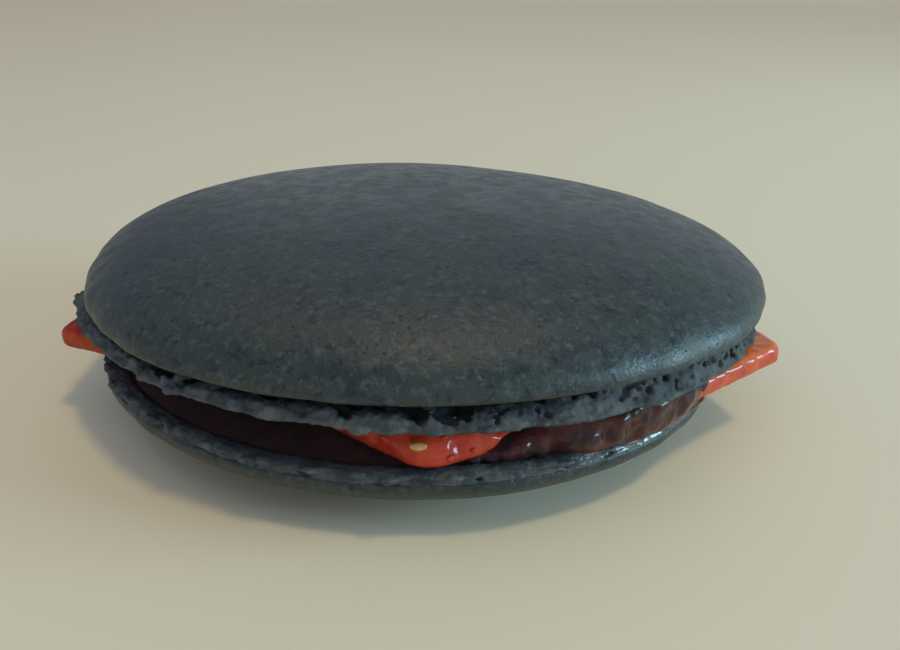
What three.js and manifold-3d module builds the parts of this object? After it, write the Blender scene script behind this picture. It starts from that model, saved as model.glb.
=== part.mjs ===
// A large filled macaron: two slate-grey almond meringue shells with ruffled feet, a layer of red jam
// between them, and strawberry slices that lie in the jam and stick out round the edge.
// Millimetres, +Z up. The origin is the centre of the flat spot that the lower shell rests on, and
// the side with the pointed strawberry tip faces -Y.
import * as THREE from "three";
import { mergeVertices } from "three/addons/utils/BufferGeometryUtils.js";
import Module from "manifold-3d";

// Driving dimensions
const upperRadius = 37.6;
const lowerRadius = 34.8;
const upperDomeHeight = 8.4;
const lowerDomeHeight = 5.7;
const upperRimHeight = 2.85; // from a shell's flat face to its widest line
const lowerRimHeight = 1.8;
const fillingThickness = 4.5;
const restingRadius = 11;
const clearance = 0.3; // left between pieces that touch
const upperTilt = { towardsX: 0.01, towardsY: 0.009 }; // radians: how the upper shell leans

const lowerHeight = lowerDomeHeight + lowerRimHeight;
const fillingTop = lowerHeight + fillingThickness;
const tau = 2 * Math.PI;

const colours = {
  shell: 0x4a5557,
  jam: 0x4a1512,
  strawberry: 0xa6301f,
};

// A repeatable run of numbers from 0 to 1
function randomStream(seed) {
  const modulus = 2147483647;
  const multiplier = 48271;
  let state = seed;
  return () => {
    state = (state * multiplier) % modulus;
    return state / modulus;
  };
}

// A wavy value along a closed edge, within about 1 either way: waves of the given numbers per turn,
// each with its own phase and its own slant across the edge.
function wavyBand(random, slowest, fastest, count, slant) {
  const waves = [];
  for (let i = 0; i < count; i++) {
    const share = i / (count - 1);
    waves.push({
      perTurn: Math.round(slowest * Math.pow(fastest / slowest, share)),
      phase: tau * random(),
      slant: slant * (2 * random() - 1),
    });
  }
  const scale = 1 / Math.sqrt(count);
  return (angle, across = 0) =>
    scale *
    waves.reduce((sum, w) => sum + Math.cos(w.perTurn * angle + w.slant * across + w.phase), 0);
}

// How near an angle is to a given one: 1 there, and falling off over the spread (in degrees)
function nearness(angle, degrees, spread) {
  const away = angle - THREE.MathUtils.degToRad(degrees);
  const turn = Math.atan2(Math.sin(away), Math.cos(away));
  const share = turn / THREE.MathUtils.degToRad(spread);
  return Math.exp(-share * share);
}

// A closed skin through rings of points, from the first pole to the last. A ring may have as many
// points as the ring before it, twice as many or half as many, and a pole is a ring of one point.
function skinOfRings(rings) {
  const positions = rings.flat().flatMap((p) => [p.x, p.y, p.z]);
  const index = [];
  let start = 0;
  for (let r = 0; r + 1 < rings.length; r++) {
    const here = rings[r].length;
    const next = rings[r + 1].length;
    const a = (i) => start + (i % here);
    const b = (i) => start + here + (i % next);
    const steps = Math.min(here, next) === 1 ? Math.max(here, next) : Math.min(here, next);
    for (let i = 0; i < steps; i++) {
      if (here === 1) {
        index.push(a(0), b(i + 1), b(i));
      } else if (next === 1) {
        index.push(a(i), a(i + 1), b(0));
      } else if (here === next) {
        index.push(a(i), a(i + 1), b(i), a(i + 1), b(i + 1), b(i));
      } else if (here < next) {
        index.push(a(i), b(2 * i + 1), b(2 * i));
        index.push(a(i), a(i + 1), b(2 * i + 1));
        index.push(a(i + 1), b(2 * i + 2), b(2 * i + 1));
      } else {
        index.push(a(2 * i), a(2 * i + 1), b(i));
        index.push(a(2 * i + 1), b(i + 1), b(i));
        index.push(a(2 * i + 1), a(2 * i + 2), b(i + 1));
      }
    }
    start += here;
  }
  const geometry = new THREE.BufferGeometry();
  geometry.setAttribute("position", new THREE.Float32BufferAttribute(positions, 3));
  geometry.setIndex(index);
  return geometry;
}

function ring(count, pointAt) {
  return Array.from({ length: count }, (_, i) => pointAt((tau * i) / count));
}

// A piped shell is never quite round: [waves per turn, share of the radius, degrees of its peak]
function outOfRound(waves, angle) {
  return waves.reduce((sum, [perTurn, share, peak]) => {
    return sum + share * Math.cos(perTurn * (angle - THREE.MathUtils.degToRad(peak)));
  }, 1);
}

// Air holes along a foot: each has its angle, its place between the lip (0) and the dome (1),
// its size along and across the edge, and its depth.
function airHoles(random, count, depth) {
  const holes = [];
  for (let i = 0; i < count; i++) {
    const large = random() ** 2;
    holes.push({
      angle: (tau * (i + 0.8 * random())) / count,
      place: 0.45 + 0.4 * random(),
      halfWidth: 0.6 + 1.5 * large,
      halfHeight: 0.16 + 0.18 * large,
      depth: depth * (0.6 + 0.7 * random()),
    });
  }
  return holes;
}

function holeDepth(holes, radius, angle, place) {
  let deepest = 0;
  for (const hole of holes) {
    const turn = Math.atan2(Math.sin(angle - hole.angle), Math.cos(angle - hole.angle));
    const along = (turn * radius) / hole.halfWidth;
    const across = (place - hole.place) / hole.halfHeight;
    deepest = Math.max(deepest, hole.depth * Math.exp(-(along ** 4) - across * across));
  }
  return deepest;
}

// One shell with its flat face at z = 0 and its dome upwards. The foot is the rough band between
// the flat face and the overhanging edge of the dome.
function shellGeometry(shell) {
  const random = randomStream(shell.seed);
  const ruffle = wavyBand(random, 9, 41, 7, 2);
  const crumb = wavyBand(random, 37, 89, 8, 7);
  const lipLine = wavyBand(random, 5, 67, 9, 0);
  const unevenTop = wavyBand(random, 2, 5, 3, 0);
  const holes = airHoles(random, shell.holeCount, shell.holeDepth);
  const fine = shell.segments;
  const polar = (angle, radius, z) => {
    const reach = radius * outOfRound(shell.waves, angle);
    return new THREE.Vector3(reach * Math.cos(angle), reach * Math.sin(angle), z);
  };

  // The flat face ends in a thin ragged lip.
  const rings = [[new THREE.Vector3(0, 0, 0)]];
  for (const [share, count] of [[0.35, fine / 8], [0.65, fine / 4], [0.95, fine / 2]]) {
    rings.push(ring(count, (angle) => polar(angle, share * shell.lipRadius, 0)));
  }
  const lip = (angle) => {
    const spread = shell.spread.reach * nearness(angle, shell.spread.angle, shell.spread.width);
    return shell.lipRadius + spread + shell.lipRaggedness * lipLine(angle);
  };
  const drop = (angle) => shell.drop.reach * nearness(angle, shell.drop.angle, shell.drop.width);
  rings.push(ring(fine, (angle) => polar(angle, lip(angle) - 0.3, -drop(angle))));
  rings.push(
    ring(fine, (angle) => polar(angle, lip(angle), 0.22 + 0.07 * crumb(angle) - drop(angle))),
  );

  for (let row = 1; row <= shell.footRows; row++) {
    const place = row / shell.footRows;
    const middle = Math.sin(Math.PI * place);
    rings.push(
      ring(fine, (angle) => {
        const wall = (1 - place) * lip(angle) + place * shell.footTopRadius;
        const hollow = shell.creaseDepth * place ** 3 + 0.3 * middle;
        const relief = 0.2 * ruffle(angle, place) + 0.24 * crumb(angle, place);
        const pit = holeDepth(holes, shell.lipRadius, angle, place);
        const radius = wall - hollow + relief * (0.4 + 0.6 * middle) - pit;
        const lipHeight = 0.25 - drop(angle);
        const z = lipHeight + place * (shell.footHeight - lipHeight);
        return polar(angle, radius, z + 0.1 * crumb(angle + 2, place) * middle);
      }),
    );
  }

  // The dome overhangs the foot with a rounded edge.
  const edge = (angle) => shell.radius + 0.06 * ruffle(angle);
  const under = shell.rimHeight - shell.footHeight;
  rings.push(ring(fine, (angle) => polar(angle, edge(angle) - 0.7, shell.footHeight + 0.1)));
  rings.push(
    ring(fine / 2, (angle) => polar(angle, edge(angle) - 0.12, shell.rimHeight - 0.45 * under)),
  );

  // Above its widest line the dome is a superellipse, cut flat where the shell rests on it.
  const { outwardPower, upwardPower } = shell;
  const shortfall = (radius) =>
    Math.pow(Math.max(0, 1 - Math.pow(radius / shell.radius, outwardPower)), 1 / upwardPower);
  const fullHeight = shell.domeHeight / shortfall(shell.flatRadius);
  for (const [t, count] of shell.domeRings) {
    const radius = shell.radius * Math.pow(Math.cos(t), 2 / outwardPower);
    const rise = fullHeight * shortfall(radius);
    const wave = (angle) => 0.09 * Math.sin(t) * unevenTop(angle);
    rings.push(ring(count, (angle) => polar(angle, radius, shell.rimHeight + rise + wave(angle))));
  }
  const last = shell.flatRadius || 0.22 * shell.radius;
  rings.push(
    ring(fine / 8, (angle) => {
      const x = last * Math.cos(angle);
      const y = last * Math.sin(angle);
      return new THREE.Vector3(x, y, shell.rimHeight + fullHeight * shortfall(last));
    }),
  );
  rings.push([new THREE.Vector3(0, 0, shell.rimHeight + shell.domeHeight)]);
  return skinOfRings(rings);
}

const upperShell = {
  seed: 421,
  segments: 192,
  radius: upperRadius,
  waves: [
    [1, 0.011, 180],
    [2, 0.028, -45],
    [3, 0.016, 0],
  ],
  lipRadius: upperRadius - 0.6,
  lipRaggedness: 0.2,
  spread: { reach: 1.4, angle: 184, width: 22 },
  drop: { reach: 0.6, angle: -60, width: 32 },
  footTopRadius: upperRadius - 1,
  footHeight: 2.2,
  footRows: 6,
  creaseDepth: 0.8,
  holeCount: 58,
  holeDepth: 1.1,
  rimHeight: upperRimHeight,
  domeHeight: upperDomeHeight,
  domeRings: [
    [0, 96],
    [0.12, 96],
    [0.27, 96],
    [0.45, 96],
    [0.66, 96],
    [0.9, 48],
    [1.12, 48],
  ],
  outwardPower: 2.44,
  upwardPower: 1.84,
  flatRadius: 0,
};

const lowerShell = {
  seed: 97,
  segments: 160,
  radius: lowerRadius,
  waves: [
    [1, 0.058, 172],
    [2, 0.038, 55],
  ],
  lipRadius: lowerRadius - 0.4,
  lipRaggedness: 0.35,
  spread: { reach: 0.4, angle: 100, width: 30 },
  drop: { reach: 0, angle: 0, width: 30 },
  footTopRadius: lowerRadius - 0.9,
  footHeight: 1.3,
  footRows: 4,
  creaseDepth: 0.3,
  holeCount: 36,
  holeDepth: 0.7,
  rimHeight: lowerRimHeight,
  domeHeight: lowerDomeHeight,
  domeRings: [
    [0, 80],
    [0.16, 80],
    [0.36, 80],
    [0.6, 80],
    [0.85, 40],
  ],
  outwardPower: 2.4,
  upwardPower: 1.9,
  flatRadius: restingRadius,
};

// Strawberry slices, each drawn from above by its corners and how far they are rounded. The one in
// front is domed by the fruit's skin. The others are flat and cut through on both sides.
const strawberries = [
  {
    name: "strawberry_front",
    corners: [[1.8, -31.6], [-9.4, -21.6], [15.5, -23.2], [9, -11], [-5, -11]],
    rounding: 3.6,
    base: lowerHeight + 0.4,
    thickness: 3.4,
    droop: 0.1,
    domed: true,
  },
  {
    name: "strawberry_right",
    corners: [[35.7, -13.3], [24, -23.6], [33.3, -5.4], [21, -6], [22.5, -16]],
    rounding: 1.9,
    base: lowerHeight + 1.1,
    thickness: 1.9,
    droop: 0.1,
    domed: false,
  },
  {
    name: "strawberry_left",
    corners: [[-36.5, -9.9], [-28.5, -13.6], [-35.6, -5], [-18, 0], [-15, -12]],
    rounding: 1.7,
    base: lowerHeight + 1.3,
    thickness: 1.7,
    droop: 0.1,
    domed: false,
  },
  {
    name: "strawberry_back_right",
    corners: [[23.5, 27], [26.5, 16], [12, 27.5], [12, 10]],
    rounding: 2.6,
    base: lowerHeight + 1.2,
    thickness: 2,
    droop: 0.15,
    domed: false,
  },
  {
    name: "strawberry_back_left",
    corners: [[-20.5, 28.5], [-8, 25.5], [-24.5, 17], [-9, 9]],
    rounding: 2.8,
    base: lowerHeight + 1.2,
    thickness: 1.8,
    droop: 0.2,
    domed: false,
  },
];

// The point of a slice's outline that faces the given way, drawn in by inset. The nearest corner
// counts most, and its neighbours round the sides off.
function sliceOutline(berry, angle, inset) {
  const outward = new THREE.Vector2(Math.cos(angle), Math.sin(angle));
  const corners = berry.corners.map(([x, y]) => new THREE.Vector2(x, y));
  const furthest = Math.max(...corners.map((c) => c.dot(outward)));
  const point = new THREE.Vector2();
  let total = 0;
  for (const corner of corners) {
    const weight = Math.exp(2 * (corner.dot(outward) - furthest));
    point.addScaledVector(corner, weight);
    total += weight;
  }
  return point.divideScalar(total).addScaledVector(outward, berry.rounding - inset);
}

// [height as a share of the thickness, inset], from the lower face up
const domedLevels = [
  [0, 0.4],
  [0.1, 0],
  [0.42, 0.15],
  [0.7, 0.7],
  [0.88, 1.8],
  [0.97, 3.6],
];
const flatLevels = [
  [0, 0.4],
  [0.2, 0],
  [0.8, 0],
  [1, 0.4],
];

// grow swells the slice on every side, for cutting its bed out of the jam.
function sliceGeometry(berry, grow) {
  const segments = 36;
  const centre = new THREE.Vector2();
  for (const [x, y] of berry.corners) {
    centre.add(new THREE.Vector2(x, y).divideScalar(berry.corners.length));
  }
  const place = (point, share) => {
    const beyond = Math.max(0, point.length() - 32);
    const sag = (berry.droop * beyond * beyond) / 36;
    const swell = share < 0.5 ? -grow : grow;
    return new THREE.Vector3(point.x, point.y, berry.base + share * berry.thickness - sag + swell);
  };
  const rings = [[place(centre, 0)]];
  for (const [share, inset] of berry.domed ? domedLevels : flatLevels) {
    const outline = (angle) => place(sliceOutline(berry, angle, inset - grow), share);
    rings.push(ring(segments, outline));
  }
  rings.push([place(centre, 1)]);
  return skinOfRings(rings);
}

function material(colour, roughness) {
  return new THREE.MeshStandardMaterial({ color: colour, roughness, metalness: 0 });
}

// Jam fills the space between the shells. It bulges out on the right of the front. It stays further
// in behind the front slice, to the left of it, and at the back where the lower shell is smaller.
const jamRadius = 33.3;
const jamBulges = [
  { reach: 2.6, angle: -50, width: 28 },
  { reach: -4.5, angle: -92, width: 15 },
  { reach: -2, angle: -77, width: 6 },
  { reach: -3, angle: -127, width: 26 },
  { reach: -1.4, angle: 40, width: 42 },
];
const jamLevels = [
  [0, -0.3],
  [0.2, 0.1],
  [0.5, 0.2],
  [0.8, -0.1],
  [1, -0.8],
];

function jamGeometry() {
  const random = randomStream(58);
  const wave = wavyBand(random, 3, 13, 6, 0);
  const lumps = wavyBand(random, 9, 29, 5, 3);
  const count = 80;
  const edge = (angle) => {
    const bulge = jamBulges.reduce((sum, b) => sum + b.reach * nearness(angle, b.angle, b.width), 0);
    return jamRadius + bulge + 0.4 * wave(angle);
  };
  const at = (angle, radius, share) => {
    const x = radius * Math.cos(angle);
    const y = radius * Math.sin(angle);
    const bottom = lowerHeight + clearance;
    const lean = upperTilt.towardsX * x + upperTilt.towardsY * y;
    const top = fillingTop - clearance - lean;
    return new THREE.Vector3(x, y, bottom + share * (top - bottom));
  };
  const cap = (share) => [
    [at(0, 0, share)],
    ring(count / 4, (angle) => at(angle, 0.4 * jamRadius, share)),
    ring(count / 2, (angle) => at(angle, 0.75 * jamRadius, share)),
  ];
  const side = jamLevels.map(([share, offset]) =>
    ring(count, (angle) => {
      const relief = 0.3 * lumps(angle, share) * Math.sin(Math.PI * share);
      return at(angle, edge(angle) + offset + relief, share);
    }),
  );
  return skinOfRings([...cap(0), ...side, ...cap(1).reverse()]);
}

// Booleans
const wasm = await Module();
wasm.setup();

function solidOf(geometry) {
  const bare = geometry.clone();
  bare.deleteAttribute("normal");
  bare.deleteAttribute("uv");
  const merged = mergeVertices(bare, 1e-4);
  return new wasm.Manifold(
    new wasm.Mesh({
      numProp: 3,
      vertProperties: merged.attributes.position.array,
      triVerts: new Uint32Array(merged.index.array),
    }),
  );
}

function geometryOf(solid) {
  const mesh = solid.getMesh();
  const geometry = new THREE.BufferGeometry();
  geometry.setAttribute("position", new THREE.BufferAttribute(mesh.vertProperties, 3));
  geometry.setIndex(new THREE.BufferAttribute(mesh.triVerts, 1));
  return geometry;
}

// Seeds lie in the steep skin of the domed slice, half sunk in it. Each has its distance to the
// right and its height above the slice's lower face, as seen from the front.
const seedPlaces = [[0.8, 2]];
const seedSize = [1.6, 0.9, 0.7];

function withSeeds(geometry, base, grow) {
  const skin = new THREE.Mesh(geometry, new THREE.MeshBasicMaterial({ side: THREE.DoubleSide }));
  let solid = solidOf(geometry);
  for (const [x, height] of seedPlaces) {
    const before = new THREE.Vector3(x, -2 * upperRadius, base + height);
    const [hit] = new THREE.Raycaster(before, new THREE.Vector3(0, 1, 0)).intersectObject(skin);
    const seed = new THREE.SphereGeometry(0.5, 8, 6);
    seed.scale(...seedSize.map((size) => size + 2 * grow));
    const outward = new THREE.Vector3(0, -hit.face.normal.z, hit.face.normal.y);
    seed.rotateX(Math.atan2(Math.abs(outward.z), Math.abs(outward.y)));
    seed.translate(hit.point.x, hit.point.y, hit.point.z);
    solid = solid.add(solidOf(seed));
  }
  return geometryOf(solid);
}

// Assembly
const macaron = new THREE.Group();

function addPiece(name, geometry, look) {
  const mesh = new THREE.Mesh(geometry, look);
  mesh.name = name;
  macaron.add(mesh);
  return mesh;
}

const lower = addPiece("lower_shell", shellGeometry(lowerShell), material(colours.shell, 0.6));
lower.rotation.x = Math.PI;
lower.position.z = lowerHeight;

const upper = addPiece("upper_shell", shellGeometry(upperShell), material(colours.shell, 0.6));
upper.rotation.set(-upperTilt.towardsY, upperTilt.towardsX, 0);
upper.position.z = fillingTop;

// A slice, or with grow the bed that it takes up in the jam
function strawberryGeometry(berry, grow) {
  const plain = sliceGeometry(berry, grow);
  return berry.domed ? withSeeds(plain, berry.base, grow) : plain;
}

let jamSolid = solidOf(jamGeometry());
for (const berry of strawberries) {
  addPiece(berry.name, strawberryGeometry(berry, 0), material(colours.strawberry, 0.25));
  jamSolid = jamSolid.subtract(solidOf(strawberryGeometry(berry, clearance)));
}
addPiece("jam", geometryOf(jamSolid), material(colours.jam, 0.2));

export default macaron;
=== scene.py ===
import math

import bmesh
import bpy
from mathutils import Matrix, Vector, noise


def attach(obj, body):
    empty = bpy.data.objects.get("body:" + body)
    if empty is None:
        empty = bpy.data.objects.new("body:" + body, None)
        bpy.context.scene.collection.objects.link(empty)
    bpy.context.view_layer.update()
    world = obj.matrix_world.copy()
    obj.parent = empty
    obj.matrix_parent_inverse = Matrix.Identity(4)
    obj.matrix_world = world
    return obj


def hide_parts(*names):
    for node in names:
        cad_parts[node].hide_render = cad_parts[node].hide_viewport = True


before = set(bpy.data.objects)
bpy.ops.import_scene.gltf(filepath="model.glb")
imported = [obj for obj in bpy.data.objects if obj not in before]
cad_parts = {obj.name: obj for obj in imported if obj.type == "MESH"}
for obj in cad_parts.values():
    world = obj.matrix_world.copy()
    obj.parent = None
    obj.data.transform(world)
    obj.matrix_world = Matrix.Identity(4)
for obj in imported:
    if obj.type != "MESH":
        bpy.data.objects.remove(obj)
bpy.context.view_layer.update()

# Every piece is shaped in millimetres and brought to metres when it is finished.
MM = 0.001
FULL_TURN = 2 * math.pi
LOWER_HEIGHT = 7.5
FILLING_TOP = 12.0
# The upper shell leans half a degree towards the back and the right. The lower one is turned over.
UPPER_LEAN = Matrix.Rotation(-0.009, 4, "X") @ Matrix.Rotation(0.01, 4, "Y")
UPPER_SEAT = Matrix.Translation((0, 0, FILLING_TOP)) @ UPPER_LEAN
LOWER_SEAT = Matrix.Translation((0, 0, LOWER_HEIGHT)) @ Matrix.Rotation(math.pi, 4, "X")

# How finely the pieces are meshed: voxel sizes, steps round the shells and rows up them.
FOOT_VOXEL = 0.15
SOFT_VOXEL = 0.3
FRUIT_VOXEL = 0.22
DOME_STEPS = 280
FOOT_STEPS = 4 * DOME_STEPS
DOME_ROWS = 64
EDGE_ROWS = 9
FOOT_ROWS = 16
LIP_SAMPLES = 1440

# The multiplier and the modulus of the streams of repeatable draws, and what is added to a shell's seed
# to give each kind of detail a stream of its own.
STREAM_FACTOR, STREAM_MODULUS = 48271, 2 ** 31 - 1
EXTRA_HOLES, CRUMBS, HOLE_TILTS = 5, 7, 11

# Places round a foot where a wide hole opens if the crack gapes there.
CRACK_HOLES = 60

# Each shell in its own frame: flat face at z 0, dome upwards, angles in degrees. The lower shell is
# turned over when it is seated, so its angles run the other way round. The rows say:
# waves: waves per turn, share of the radius and angle of a peak, for each way it is out of round;
# spread, edge_inset, drop, open_crack, smooth_stretch: amount, angle and width;
# deep_pits: angle, place up the foot, half width, half height as a share of the foot, and depth;
# stray_crumbs: angle, place up the foot, reach and half sizes.
UPPER = {
    "seed": 421,
    "radius": 37.6,
    "waves": [(1, 0.011, 180), (2, 0.028, -45), (3, 0.016, 0)],
    "lip_radius": 37.0,
    "lip_raggedness": 0.24,
    "spread": (1.5, 190, 19),
    "edge_inset": (0.5, 192, 24),
    "drop": (0.6, -60, 32),
    "foot_top_radius": 36.6,
    "foot_height": 2.2,
    "crease_depth": 0.8,
    "crack_depth": 1.5,
    "open_crack": (0.95, -116, 48),
    "hole_count": 58,
    "hole_depth": 1.1,
    "small_holes": 860,
    "deep_pits": [
        (-122.5, 0.55, 1.5, 0.24, 1.6),
        (-113, 0.7, 1.4, 0.2, 1.6),
        (-108, 0.7, 1.2, 0.18, 1.5),
        (-103, 0.72, 1.5, 0.2, 1.5),
        (-97, 0.7, 1.4, 0.2, 1.5),
        (-93.5, 0.68, 1.0, 0.2, 1.4),
        (-89, 0.55, 1.5, 0.28, 1.7),
        (-83, 0.58, 1.7, 0.3, 1.8),
        (-77.5, 0.7, 1.0, 0.18, 1.3),
        (-72.5, 0.72, 0.8, 0.16, 1.2),
        (-66, 0.7, 0.6, 0.15, 1.0),
    ],
    "crumbs": 900,
    "stray_crumbs": [
        (197, 0.62, 0.0, (0.45, 0.4, 0.3)),
        (197.5, 0.66, 0.5, (0.5, 0.2, 0.16)),
        (195.5, 0.85, 0.1, (0.35, 0.3, 0.4)),
        (188, 0.3, 0.0, (0.4, 0.6, 0.3)),
    ],
    "foot_depth": 3.2,
    "foot_softening": 1,
    "face_share": 0.5,
    "edge_undercut": 1.1,
    "rim_height": 2.85,
    "dome_height": 8.4,
    "outward_power": 2.44,
    "upward_power": 1.84,
    "flat_radius": 0.0,
    "smooth_stretch": (0.0, 0, 10),
}
LOWER = {
    "seed": 97,
    "radius": 34.8,
    "waves": [(1, 0.058, 172), (2, 0.038, 55)],
    "lip_radius": 34.4,
    "lip_raggedness": 0.3,
    "spread": (0.4, 100, 30),
    "edge_inset": (0.0, 0, 30),
    "drop": (0.0, 0, 30),
    "foot_top_radius": 34.95,
    "foot_height": 1.0,
    "crease_depth": 0.0,
    "crack_depth": 0.2,
    "open_crack": (0.3, 128, 46),
    "hole_count": 36,
    "hole_depth": 0.7,
    "small_holes": 150,
    "deep_pits": [],
    "crumbs": 420,
    "stray_crumbs": [
        (157, 0.0, -0.2, (0.6, 1.0, 0.42)),
        (150, 0.02, 0.0, (0.5, 0.8, 0.4)),
        (143, -0.05, -0.3, (0.6, 1.3, 0.4)),
        (134, 0.0, -0.1, (0.55, 1.1, 0.38)),
        (127, -0.1, -0.2, (0.6, 1.2, 0.42)),
        (121, 0.05, 0.05, (0.45, 0.7, 0.35)),
        (113, -0.05, -0.2, (0.5, 0.9, 0.36)),
        (104, 0.0, 0.0, (0.45, 0.8, 0.3)),
        (93, -0.05, 0.0, (0.45, 0.8, 0.32)),
        (84, 0.0, 0.0, (0.4, 0.7, 0.3)),
        (68, 0.0, 0.05, (0.45, 0.9, 0.3)),
    ],
    "foot_depth": 1.9,
    "foot_softening": 6,
    "face_share": 0.9,
    "edge_undercut": 0.2,
    "rim_height": 1.4,
    "dome_height": 6.1,
    "outward_power": 2.4,
    "upward_power": 1.9,
    "flat_radius": 11.0,
    "smooth_stretch": (1.0, 53, 13),
}


# Repeatable draws and the wavy edges of a piped shell

def random_stream(seed):
    """A function that draws repeatable numbers from 0 to 1."""
    state = [seed]

    def draw():
        state[0] = state[0] * STREAM_FACTOR % STREAM_MODULUS
        return state[0] / STREAM_MODULUS

    return draw


def wavy_band(draw, slowest, fastest, count, slant):
    """A function for a wavy value along a closed edge and across it, mostly between -1 and 1."""
    waves = []
    for i in range(count):
        per_turn = math.floor(slowest * (fastest / slowest) ** (i / (count - 1)) + 0.5)
        phase = FULL_TURN * draw()
        waves.append((per_turn, slant * (2 * draw() - 1), phase))
    scale = 1 / math.sqrt(count)

    def value(angle, across=0.0):
        return scale * sum(math.cos(n * angle + s * across + p) for n, s, p in waves)

    return value


def turn_between(a, b):
    """The turn from b to a, between half a turn back and half a turn on."""
    return math.atan2(math.sin(a - b), math.cos(a - b))


def nearness(angle, reach, degrees, width):
    """reach where the angle is the given degrees, falling off over width degrees."""
    share = turn_between(angle, math.radians(degrees)) / math.radians(width)
    return reach * math.exp(-share * share)


def on_circle(radius, angle, height):
    """The point at a radius, an angle and a height."""
    return radius * math.cos(angle), radius * math.sin(angle), height


def out_of_round(shell, angle):
    """What a shell's radius is multiplied by at an angle."""
    return 1 + sum(s * math.cos(n * (angle - math.radians(peak))) for n, s, peak in shell["waves"])


def air_holes(draw, count, depth):
    """Holes round a foot: angle, place up the foot, half width, half height as a share of it, depth."""
    holes = []
    for i in range(count):
        large = draw() ** 2
        angle = FULL_TURN * (i + 0.8 * draw()) / count
        place = 0.45 + 0.4 * draw()
        hole_depth = depth * (0.6 + 0.7 * draw())
        holes.append((angle, place, 0.6 + 1.5 * large, 0.16 + 0.18 * large, hole_depth))
    return holes


def ease(value, low, high):
    """0 below low, 1 above high, smooth between them."""
    share = min(1.0, max(0.0, (value - low) / (high - low)))
    return share * share * (3 - 2 * share)


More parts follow.
